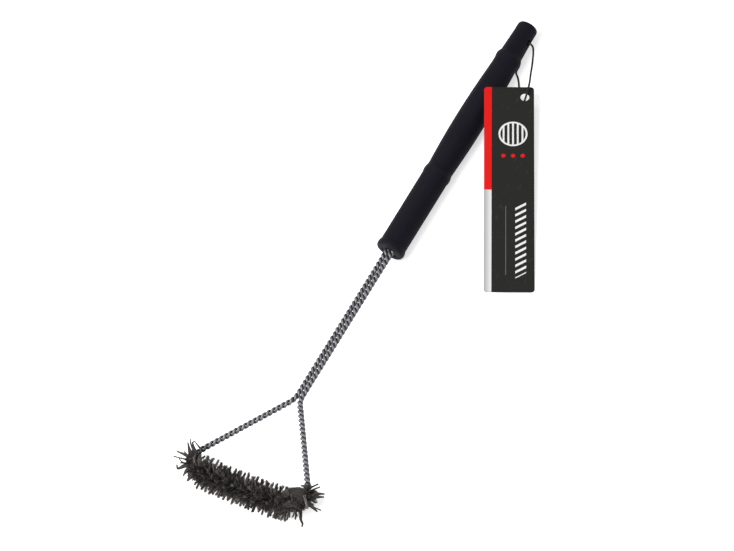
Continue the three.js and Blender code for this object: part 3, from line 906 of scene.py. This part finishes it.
def tuft_tree():
    sizes = ("Length", "Ragged", "Pitch", "Fan", "Foot Spread", "Tip Spread", "Bend", "Thickness")
    graph, start = geometry_tree("bristle_tufts", sizes, ("Tufts", "Strands", "Rows", "Seed"))
    path = graph.add("GeometryNodeMeshToCurve", None, {0: start})
    path_size = graph.add("GeometryNodeCurveLength", None, {0: path})
    tufts, strands, rows, seed = (start.other(n) for n in ("Tufts", "Strands", "Rows", "Seed"))
    points = graph.add("GeometryNodePoints", None, {"Count": tufts * strands})
    strand = graph.add("GeometryNodeInputIndex")
    tuft = graph.maths("FLOOR", (strand + 0.5) / strands)

    def on_path(share):
        inside = graph.maths("MINIMUM", graph.maths("MAXIMUM", share, PATH_MARGIN), 1 - PATH_MARGIN)
        sockets = {"Curves": path, "Factor": inside}
        return graph.add("GeometryNodeSampleCurve", {"mode": "FACTOR"}, sockets, out="Position")

    share = (tuft + chance(graph, 0.1, 0.9, tuft, seed + 1)) / tufts
    across = level_across(graph, on_path(share).other("Tangent"))
    row = graph.maths("MODULO", tuft, rows) / rows
    spiral = (row - share * path_size / start.other("Pitch")) * (2 * math.pi)
    angle = spiral + chance(graph, -0.5, 0.5, tuft, seed + 2) * start.other("Fan")
    sideways = graph.scaled(across, graph.maths("COSINE", angle))
    outward = graph.vector("ADD", sideways, graph.combined(0.0, 0.0, graph.maths("SINE", angle)))
    reach = start.other("Length") * (1 - chance(graph, 0.0, 1.0, tuft, seed + 3) * start.other("Ragged"))
    reach = reach * (1 - chance(graph, 0.0, 1.0, strand, seed + 4) * start.other("Ragged"))
    slide = chance(graph, -1.0, 1.0, strand, seed + 5) * start.other("Foot Spread")
    foot = on_path(share + slide / path_size)
    aim = graph.vector("ADD", on_path(share), graph.scaled(outward, reach))
    miss = graph.scaled(scatter(graph, strand, seed + 10), start.other("Tip Spread"))
    reach_vector = graph.vector("SUBTRACT", graph.vector("ADD", aim, miss), foot)
    span = graph.vector("LENGTH", reach_vector, out="Value")
    turn = graph.add("FunctionNodeAlignRotationToVector", {"axis": "Z"}, {"Vector": reach_vector})
    tone = chance(graph, 0.0, 1.0, strand, seed + 6) * chance(graph, 0.0, 1.0, tuft, seed + 7)
    sway = graph.scaled(scatter(graph, strand, seed + 20), start.other("Bend"))
    points = graph.add("GeometryNodeSetPosition", None, {"Geometry": points, "Position": foot})
    points = keep(graph, keep(graph, points, "tone", tone), "sway", sway, "FLOAT_VECTOR")
    line = graph.add("GeometryNodeCurvePrimitiveLine", None, {"Start": (0, 0, 0), "End": (0, 0, 1)})
    line = graph.add("GeometryNodeResampleCurve", None, {"Curve": line, "Count": STRAND_POINTS})
    size = graph.combined(1.0, 1.0, span)
    climb = graph.add("GeometryNodeSplineParameter", out="Factor")
    bow = graph.scaled(kept(graph, "sway", "FLOAT_VECTOR"), climb * climb)
    sockets = {"Points": points, "Instance": line, "Rotation": turn, "Scale": size}
    return end_strands(graph, start, scattered_lines(graph, sockets, bow))


tuft_recipe = tuft_tree()
print("bristle tree:", len(tuft_recipe.nodes), "nodes")


# %% Bristle pieces
def bristle_piece(name, recipe, paths, **inputs):
    """Bristles grown on their paths and settled. What would reach below the floor lies flat on it."""
    piece = grow(chain(name, *paths), recipe, material=bristle_finish, **inputs)
    settle(piece.data)
    for vertex in piece.data.vertices:
        vertex.co.z = max(vertex.co.z, 0.0)
    return piece


def merged(name, parts):
    """Several grown pieces joined into one."""
    build = bmesh.new()
    for part in parts:
        build.from_mesh(part.data)
        bpy.data.objects.remove(part)
    mesh = bpy.data.meshes.new(name)
    build.to_mesh(mesh)
    build.free()
    mesh.materials.append(bristle_finish)
    return place(name, mesh)


# %% [markdown]
# The corners are less regular than the bar. Besides a short dense mass all round the wire they have
# single locks that stand out, bend or loop back, and these are placed one by one. A second tree
# turns each lock's centre line into a bundle of strands that is loose at its foot and tight at its
# tip.


# %% Lock tree
def lock_tree():
    sizes = ("Foot Spread", "Tip Spread", "Tone", "Thickness")
    graph, start = geometry_tree("bristle_locks", sizes, ("Strands", "Seed"))
    seed = start.other("Seed")
    line = graph.add("GeometryNodeMeshToCurve", None, {0: start})
    points = graph.add("GeometryNodePoints", None, {"Count": start.other("Strands")})
    strand = graph.add("GeometryNodeInputIndex")
    tone = chance(graph, 0.0, 1.0, strand, seed + 9) * chance(graph, 0.0, 1.0, strand, seed + 10)
    points = keep(graph, points, "foot", scatter(graph, strand, seed + 1), "FLOAT_VECTOR")
    points = keep(graph, points, "tip", scatter(graph, strand, seed + 5), "FLOAT_VECTOR")
    points = keep(graph, points, "tone", tone * start.other("Tone"))
    climb = graph.add("GeometryNodeSplineParameter", out="Factor")
    foot, tip = (kept(graph, name, "FLOAT_VECTOR") for name in ("foot", "tip"))
    loose = graph.scaled(foot, start.other("Foot Spread") * (1 - climb))
    tight = graph.scaled(tip, start.other("Tip Spread") * climb)
    offset = graph.vector("ADD", loose, tight)
    return end_strands(graph, start, scattered_lines(graph, {"Points": points, "Instance": line}, offset))


lock_recipe = lock_tree()
print("lock tree:", len(lock_recipe.nodes), "nodes")

# %% Locks' centre lines
LOCK_SPANS = 4
LEFT_SPIKES = [
    [(-88, 65, 1), (-84.6, 70.8, 2), (-77.4, 77.5, 3)],
    [(-84, 64, 2), (-81.8, 67.4, 3), (-76.1, 71.9, 5)],
    [(-91, 64, 1), (-88.5, 71.5, 1), (-88.3, 83.9, 2)],
    [(-95, 64, 0), (-98, 69, 0), (-103, 73.9, 0), (-101.2, 74.8, 3)],
    [(-96, 61, -1), (-100.6, 65.8, -2), (-106.2, 67.3, -4)],
    [(-99, 58, -3), (-104, 61, -5), (-108.1, 62.2, -6)],
]
LEFT_HAIRS = [
    [(-77.7, 62.7, 2), (-76.2, 66.6, 5), (-74.9, 69.8, 6), (-76.1, 71.9, 5)],
    [(-89, 66, 1), (-87.6, 72, 1), (-85.9, 77.6, 1)],
    [(-82, 68, 3), (-77.5, 73, 6), (-73.6, 75.8, 5)],
    [(-92, 66, 1), (-93, 77, 1), (-93.4, 85.4, 0)],
    [(-96, 66, 1), (-97, 71, 4), (-95.5, 75, 5), (-94, 73, 5)],
]
RIGHT_SPIKES = [
    [(-82, -64, 2), (-78.2, -61.8, 4), (-78.5, -57.7, 5)],
    [(-92, -66, 2), (-92, -74.2, 2), (-93.9, -82.4, -2)],
    [(-94, -63, 2), (-100, -67.2, -2), (-105.9, -70.2, -5), (-108.2, -72.6, -7), (-110.4, -72.8, -8)],
    [(-86, -65, 1), (-80.5, -73, 2), (-77, -81, 1)],
    [(-87, -65, 0), (-83, -74, 1), (-79.5, -81.6, 0)],
]
RIGHT_HAIRS = [
    [(-81, -64, 2), (-75.5, -68, 4), (-71.1, -71.7, 4)],
    [(-83, -64, 2), (-76.5, -70.5, 3), (-72.9, -74.4, 3)],
    [(-92, -66, 2), (-92.5, -78, 2), (-91.6, -85.1, -2)],
    [(-94, -62, 3), (-100, -63, 2), (-103, -66.8, 4)],
]


def locks(name, lines, strands, foot, tip, **inputs):
    """A bundle of strands on each line. Foot and tip are its spreads there, in millimetres."""
    curves = [smooth([Vector(p) * MM for p in line], LOCK_SPANS) for line in lines]
    spread = {"foot_spread": foot * MM, "tip_spread": tip * MM}
    return bristle_piece(name, lock_recipe, curves, strands=strands, **spread, **inputs)


# %% [markdown]
# The bar has two layers: the double spiral, whose tufts reach the full length and give the edge its
# fingers, and a shorter filling in every direction that makes the dense dark middle. A corner has
# its short mass, longer tufts where it runs into the bar, and its locks. The right corner also has
# a star of tufts on its outer side, a broad smooth lock that lies over the end of the bar, and a
# few strands much lighter than the rest. A corner's line has 25 points, from the arm's end to the
# bar's end, and each kind of tuft takes its own part of them.


# %% Kinds of tuft
BRISTLE_LENGTH = 16.8 * MM
BRISTLE_THICKNESS = 0.19 * MM
BRISTLE_PITCH = 16.4 * MM
FILLING_SHARE = 0.72
ALL_ROUND = 2 * math.pi


def tufting(tufts, strands, length, ragged, foot, tip, bend, rows=1, fan=ALL_ROUND, pitch=BRISTLE_PITCH):
    """The inputs that make one kind of tuft. Foot, tip and bend are spreads in millimetres."""
    counts = {"tufts": tufts, "strands": strands, "rows": rows}
    shape = {"length": length, "ragged": ragged, "fan": fan, "pitch": pitch, "thickness": BRISTLE_THICKNESS}
    spreads = {"foot_spread": foot * MM, "tip_spread": tip * MM, "bend": bend * MM}
    return {**counts, **shape, **spreads}


SPIRAL = tufting(78, 60, BRISTLE_LENGTH, 0.11, foot=1.5, tip=0.85, bend=0.5, rows=2, fan=0.15)
FILLING = tufting(520, 7, BRISTLE_LENGTH * FILLING_SHARE, 0.12, foot=1.0, tip=0.8, bend=0.7)
CORNER_MASS = tufting(800, 3, 5.4 * MM, 0.14, foot=1.2, tip=1.3, bend=0.8)
BAR_END = tufting(22, 30, 14.5 * MM, 0.14, foot=1.0, tip=0.35, bend=0.6)
STAR = tufting(26, 24, 11.5 * MM, 0.2, foot=0.9, tip=0.6, bend=0.8, fan=2.4, pitch=1.0)


# %% Bar and corner bristles
MASS_PART = slice(4, None)
BAR_END_PART = slice(17, None)
STAR_PART = slice(1, 9)


def tufts(name, path, kind, seed):
    return bristle_piece(name, tuft_recipe, [path], seed=seed, **kind)


def bar_bristles(name, half_bar, seed):
    spiral = tufts(name + "_spiral", half_bar, SPIRAL, seed)
    filling = tufts(name + "_filling", half_bar, FILLING, seed + 50)
    return merged(name, [spiral, filling])


def corner_bristles(name, corner, spikes, hairs, extra, seed):
    mass = tufts(name + "_mass", corner[MASS_PART], CORNER_MASS, seed)
    ends = tufts(name + "_ends", corner[BAR_END_PART], BAR_END, seed + 20)
    strand = {"thickness": 0.2 * MM, "tone": 0.3, "seed": seed + 30}
    thick = locks(name + "_spikes", spikes, 110, foot=2.4, tip=0.5, **strand)
    thin = locks(name + "_hairs", hairs, 24, foot=0.9, tip=0.5, **strand)
    return merged(name, [mass, ends, thick, thin, *extra])


def combed_lock():
    """The broad smooth lock that lies over the right end of the bar."""
    lines = [
        [(-86, -66.5, 3), (-83, -64, 6), (-84.5, -57, 7), (-88.5, -49, 7)],
        [(-89, -67, 4), (-86.5, -65, 7), (-87.5, -58, 8), (-91.5, -49, 8)],
        [(-93, -67, 4), (-90, -66, 7), (-91, -58, 8), (-95, -50, 8)],
        [(-98, -66, 3), (-98, -66, 6), (-99, -61, 7), (-101.5, -55, 7)],
    ]
    strand = {"thickness": 0.18 * MM, "tone": 0.12, "seed": 71}
    return locks("right_combed_lock", lines, 150, foot=2.4, tip=2.4, **strand)


def lighter_strands():
    """A few strands much lighter than the rest, beside the corner."""
    lines = [[(-88, -69, 9), (-92.5, -73.3, 8.5), (-97.1, -76.6, 6)]]
    # A tone of 4 makes these strands much lighter than the other bristles.
    strand = {"thickness": 0.2 * MM, "tone": 4.0, "seed": 81}
    return locks("right_bare_strands", lines, 30, foot=0.9, tip=1.1, **strand)


def right_corner_extras(corner):
    """What only the right corner has. The star fans out from it, away from the triangle."""
    star = tufts("right_corner_star", corner[STAR_PART], STAR, 61)
    return [star, combed_lock(), lighter_strands()]


# %% All four bristle pieces
_, left_corner, left_bar = left_parts
_, right_corner, right_bar = right_parts
right_extras = right_corner_extras(right_corner)
bristles = {
    "left_bar": bar_bristles("left_bar_tufts", left_bar, 3),
    "left_corner": corner_bristles("left_corner_tufts", left_corner, LEFT_SPIKES, LEFT_HAIRS, [], 4),
    "right_bar": bar_bristles("right_bar_tufts", right_bar, 7),
    "right_corner": corner_bristles(
        "right_corner_tufts", right_corner, RIGHT_SPIKES, RIGHT_HAIRS, right_extras, 8
    ),
}
for key, piece in bristles.items():
    report(piece, key + "_bristles")

# %% [markdown]
# ## The hang tag
#
# The tag is a stiff printed card with round corners and a punched hole. It leans on the handle with
# its top left corner, and its bottom right corner is on the floor. It is drawn flat, because a flat
# card gives its print a plain map, with its hole at the origin, x up its length and y to its left.
# Then it is turned into place by its heading, its rise and its lean.

# %% Tag shape
TAG_WIDTH = 46.7 * MM
TAG_LENGTH = 223.4 * MM
TAG_THICKNESS = 0.8 * MM
TAG_CORNER = 3.2 * MM
TAG_HOLE_RADIUS = 4.2 * MM
TAG_HOLE_FROM_SIDE = 8.6 * MM
TAG_HOLE_FROM_TOP = 11.2 * MM
TAG_HOLE_AT = Vector((202.515, -39.343, 14.048)) * MM
TAG_HEADING = math.radians(30.26)
TAG_RISE = math.radians(2.85)
TAG_LEAN = math.radians(20.4256)
TAG_SLOT_FRONT = 0
TAG_SLOT_BACK = 1
TAG_SLOT_EDGE = 2
CORNER_STEPS = 12
HOLE_STEPS = 48


def card_outline():
    """The card's edge, counter-clockwise from above."""
    top, right = TAG_HOLE_FROM_TOP, -TAG_HOLE_FROM_SIDE
    bottom, left = top - TAG_LENGTH, right + TAG_WIDTH
    r = TAG_CORNER
    centres = [(top - r, left - r), (bottom + r, left - r), (bottom + r, right + r), (top - r, right + r)]
    outline = []
    for quarter, (x, y) in enumerate(centres):
        for k in range(CORNER_STEPS + 1):
            angle = math.radians(90 * quarter + 90 * k / CORNER_STEPS)
            outline.append((x + r * math.cos(angle), y + r * math.sin(angle)))
    return outline


def make_card():
    """The card as two printed faces and an edge round its rim and its hole, with UVs in metres."""
    outline = card_outline()
    hole = []
    for k in range(HOLE_STEPS):
        angle = 2 * math.pi * k / HOLE_STEPS
        hole.append((TAG_HOLE_RADIUS * math.cos(angle), TAG_HOLE_RADIUS * math.sin(angle)))
    build = bmesh.new()
    faces_rims = []
    for height, slot in ((TAG_THICKNESS / 2, TAG_SLOT_FRONT), (-TAG_THICKNESS / 2, TAG_SLOT_BACK)):
        rims, edges = [], []
        for ring in (outline, hole):
            corners = [build.verts.new((x, y, height)) for x, y in ring]
            rims.append(corners)
            edges += [build.edges.new(pair) for pair in zip(corners, corners[1:] + corners[:1])]
        faces_rims.append(rims)
        made = bmesh.ops.triangle_fill(build, edges=edges, use_beauty=True)
        for face in made["geom"]:
            if isinstance(face, bmesh.types.BMFace):
                face.material_index = slot
    for upper, lower in zip(*faces_rims):
        for k, vertex in enumerate(upper):
            j = (k + 1) % len(upper)
            face = build.faces.new([vertex, lower[k], lower[j], upper[j]])
            face.material_index = TAG_SLOT_EDGE
    bmesh.ops.recalc_face_normals(build, faces=build.faces)
    uv = build.loops.layers.uv.new("print")
    for face in build.faces:
        for loop in face.loops:
            x, y, _ = loop.vert.co
            loop[uv].uv = (TAG_WIDTH - TAG_HOLE_FROM_SIDE - y, TAG_HOLE_FROM_TOP - x)
    mesh = bpy.data.meshes.new("hang_card")
    build.to_mesh(mesh)
    build.free()
    turn = Matrix.Rotation(TAG_HEADING, 4, "Z") @ Matrix.Rotation(-TAG_RISE, 4, "Y")
    mesh.transform(Matrix.Translation(TAG_HOLE_AT) @ turn @ Matrix.Rotation(TAG_LEAN, 4, "X"))
    return place("hang_card", mesh)


hang_card = make_card()
report(hang_card, "hang_tag")

# %% [markdown]
# ### The tag's print
#
# The print is plain shapes only: a two-colour band down the left edge, a round grate, a row of dots
# and a ladder of slanted bars on a charcoal ground. An image would blur close up, so each shape is
# a mask, 0 or 1, made from the distances across and down the card, and the masks choose between
# the inks. The grate's bars end under its rim. The back and the edge are bare card.

# %% Inks
INK_GROUND = colour(33, 33, 31)
INK_SHADE = colour(22, 22, 21)
INK_RED = colour(232, 28, 26)
INK_GREY = colour(176, 176, 178)
INK_WHITE = colour(242, 242, 240)
SHARP = 0.12 * MM

# %% Tag layout, as distances across and down from the top left corner
BORDER = 1.6 * MM
BORDER_LINE = 0.5 * MM
BAND_WIDTH = 7.1 * MM
BAND_SPLIT = 113.2 * MM
GRATE_ACROSS = 27 * MM
GRATE_DOWN = 52 * MM
GRATE_RADIUS = 13.5 * MM
GRATE_RIM = 1.7 * MM
GRATE_HALF_PITCH = 2.2 * MM
GRATE_HALF_BAR = 0.85 * MM
DOTS_DOWN = 76 * MM
DOTS_ACROSS = (18 * MM, 27 * MM, 36 * MM)
DOT_RADIUS = 2 * MM
DOT_SOFTNESS = 0.1 * MM
LADDER_DOWN = 128 * MM
LADDER_LENGTH = 78 * MM
LADDER_ACROSS = 34 * MM
LADDER_HALF_WIDTH = 5 * MM
LADDER_SLOPE = 0.6
RUNG_HALF_PITCH = 3.4 * MM
RUNG_HALF_WIDTH = 1.35 * MM
LINE_ACROSS = (20 * MM, 20.5 * MM)
LINE_DOWN = (131 * MM, 205 * MM)


# %% Tag print
def tag_print():
    finish = Finish("tag_print")
    graph = finish.graph
    place_on = graph.add("ShaderNodeUVMap", {"uv_map": "print"})
    across = graph.add("ShaderNodeSeparateXYZ", None, {0: place_on})
    down = across.other("Y")

    def below(value, limit, softness=SHARP):
        return 1 - graph.step(value, limit - softness, limit + softness)

    def inside(value, low, high):
        return graph.step(value, low - SHARP, low + SHARP) * below(value, high)

    def distance(x, y):
        return graph.vector("DISTANCE", place_on, (x, y, 0), out="Value")

    band = below(across, BAND_WIDTH)
    upper = below(down, BAND_SPLIT)
    from_grate = distance(GRATE_ACROSS, GRATE_DOWN)
    rim = inside(from_grate, GRATE_RADIUS - GRATE_RIM, GRATE_RADIUS)
    bars = graph.maths("PINGPONG", across - GRATE_ACROSS, GRATE_HALF_PITCH) < GRATE_HALF_BAR
    grate = graph.maths("MAXIMUM", rim, bars * (from_grate < GRATE_RADIUS - GRATE_RIM / 2))
    dots = sum(below(distance(x, DOTS_DOWN), DOT_RADIUS, DOT_SOFTNESS) for x in DOTS_ACROSS)
    rung = down + (across - LADDER_ACROSS) * LADDER_SLOPE - LADDER_DOWN
    slant = graph.maths("PINGPONG", rung - RUNG_HALF_PITCH, RUNG_HALF_PITCH) < RUNG_HALF_WIDTH
    rails = inside(across, LADDER_ACROSS - LADDER_HALF_WIDTH, LADDER_ACROSS + LADDER_HALF_WIDTH)
    ladder = slant * rails * inside(rung, RUNG_HALF_PITCH / 2, LADDER_LENGTH)
    hairline = inside(across, *LINE_ACROSS) * inside(down, *LINE_DOWN)
    edge = graph.maths("MINIMUM", TAG_WIDTH - across, graph.maths("MINIMUM", down, TAG_LENGTH - down))
    frame_line = inside(edge, BORDER - BORDER_LINE, BORDER)
    scuff = graph.step(finish.noise(3 * MM, detail=5.0, stretch=(3, 1, 1)), 0.58, 0.8)
    fibres = finish.noise(0.7 * MM, detail=3.0)
    ink = graph.mix(fibres * 0.5, INK_GROUND, colour(38, 38, 36))
    ink = graph.mix(frame_line * 0.8, ink, INK_SHADE)
    silver = graph.mix(across / BAND_WIDTH, INK_GREY, INK_WHITE)
    ink = graph.mix(band, ink, graph.mix(upper, silver, INK_RED))
    ink = graph.mix(graph.maths("MAXIMUM", grate, ladder), ink, INK_WHITE)
    ink = graph.mix(dots, ink, INK_RED)
    ink = graph.mix(hairline, ink, colour(120, 120, 118))
    ink = graph.mix(scuff * 0.02, ink, INK_WHITE)
    rough = 0.42 + scuff * 0.2 + fibres * 0.06
    normal = finish.bump(fibres, 0.02 * MM, 0.4)
    return finish.shade(base_color=ink, roughness=rough, normal=normal, specular_ior_level=0.12)


def card_back():
    finish = Finish("card_back")
    fibres = finish.noise(0.8 * MM, detail=4.0, stretch=(2, 1, 1))
    base = finish.graph.mix(fibres, colour(36, 36, 34), colour(50, 50, 47))
    normal = finish.bump(fibres, 0.03 * MM, 0.5)
    return finish.shade(base_color=base, roughness=0.55 + fibres * 0.1, normal=normal, specular_ior_level=0.3)


def card_edge():
    finish = Finish("card_edge")
    fibres = finish.noise(0.35 * MM, detail=4.0, stretch=(3, 3, 1))
    base = finish.graph.mix(fibres, colour(24, 24, 23), colour(58, 57, 54))
    normal = finish.bump(fibres, 0.05 * MM, 0.6)
    return finish.shade(base_color=base, roughness=0.8, normal=normal, specular_ior_level=0.2)


for finish_of_face in (tag_print(), card_back(), card_edge()):
    hang_card.data.materials.append(finish_of_face)
print("tag finishes:", [material.name for material in hang_card.data.materials])

# %% [markdown]
# ## Standing in for the CAD nodes
#
# Each finished piece rides on the body of the nodes that it stands for. The socket insert and the
# crimp have their true shape already, so they stay and only get their finish.


# %% Riding
def stands_for(piece, body, slot, *nodes):
    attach(piece, body)
    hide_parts(*nodes)


stands_for(turned_grip, "brush", "handle_plastic", "handle_grip")
stands_for(wire_a, "brush", "wire_steel", "left_wire_a", "right_wire_a")
stands_for(wire_b, "brush", "wire_steel", "left_wire_b", "right_wire_b")
for key, piece in bristles.items():
    stands_for(piece, "brush", "bristle_steel", key + "_bristles")
stands_for(cord_knot, "brush", "cord_fabric", "cord_knot")
stands_for(hang_cord, "brush", "cord_fabric", "hang_cord")
stands_for(hang_card, "tag", "tag_card", "hang_tag")

for node, finish_of_node in (("socket_insert", insert_finish), ("wire_crimp", crimp_finish)):
    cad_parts[node].data.materials.clear()
    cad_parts[node].data.materials.append(finish_of_node)

# %% [markdown]
# ## Floor and light
#
# The floor is pale and takes the soft shadow. What the camera and mirrors see of it is lifted a
# little with Light Path, so that it reads as white while the lamps stay at a plain level; stronger
# lamps would wash out the object. One large soft lamp draws the light band along the handle, and a
# weaker one opens the shadows.

# %% Stage
FLOOR_SIZE = 8.0
WORLD_LIGHT = 0.38
FLOOR_GREY = 0.86
FLOOR_GLOW = 0.62
KEY_AT = Vector((-1.25, 0.55, 2.3))
KEY_SIZE = 3.0
KEY_POWER = 84
FILL_AT = Vector((1.2, -2.0, 1.8))
FILL_SIZE = 2.4
FILL_POWER = 2


def seen_directly(graph):
    """1 for rays from the camera, off mirrors and through glass, and 0 for the rest."""
    path = graph.add("ShaderNodeLightPath", out="Is Camera Ray")
    seen = graph.maths("MAXIMUM", path, path.other("Is Glossy Ray"))
    return graph.maths("MAXIMUM", seen, path.other("Is Transmission Ray"))


def make_floor():
    material = bpy.data.materials.new("pale_floor")
    material.use_nodes = True
    material.node_tree.nodes.clear()
    graph = Graph(material.node_tree)
    paint = graph.add("ShaderNodeBsdfDiffuse", None, {"Color": (FLOOR_GREY,) * 3 + (1.0,)})
    glow = graph.add("ShaderNodeEmission", None, {"Strength": seen_directly(graph) * FLOOR_GLOW})
    both = graph.add("ShaderNodeAddShader", None, {0: paint, 1: glow})
    graph.add("ShaderNodeOutputMaterial", None, {"Surface": both})
    half = FLOOR_SIZE / 2
    mesh = bpy.data.meshes.new("floor")
    corners = [(-half, -half, 0), (half, -half, 0), (half, half, 0), (-half, half, 0)]
    mesh.from_pydata(corners, [], [(0, 1, 2, 3)])
    mesh.materials.append(material)
    floor = place("floor", mesh)


def make_world():
    world = bpy.data.worlds.new("studio")
    bpy.context.scene.world = world
    world.use_nodes = True
    world.node_tree.nodes.clear()
    graph = Graph(world.node_tree)
    strength = WORLD_LIGHT + seen_directly(graph) * (1 - WORLD_LIGHT)
    light = graph.add("ShaderNodeBackground", None, {"Color": (1, 1, 1, 1), "Strength": strength})
    graph.add("ShaderNodeOutputWorld", None, {"Surface": light})


def make_lamp(name, at, size, power):
    data = bpy.data.lights.new(name, "AREA")
    data.shape = "DISK"
    data.size = size
    data.energy = power
    lamp = bpy.data.objects.new(name, data)
    bpy.context.scene.collection.objects.link(lamp)
    lamp.matrix_world = Matrix.Translation(at) @ (-at).to_track_quat("-Z", "Y").to_matrix().to_4x4()


make_floor()
make_world()
make_lamp("key_light", KEY_AT, KEY_SIZE, KEY_POWER)
make_lamp("fill_light", FILL_AT, FILL_SIZE, FILL_POWER)
bpy.context.scene.view_settings.view_transform = "Standard"
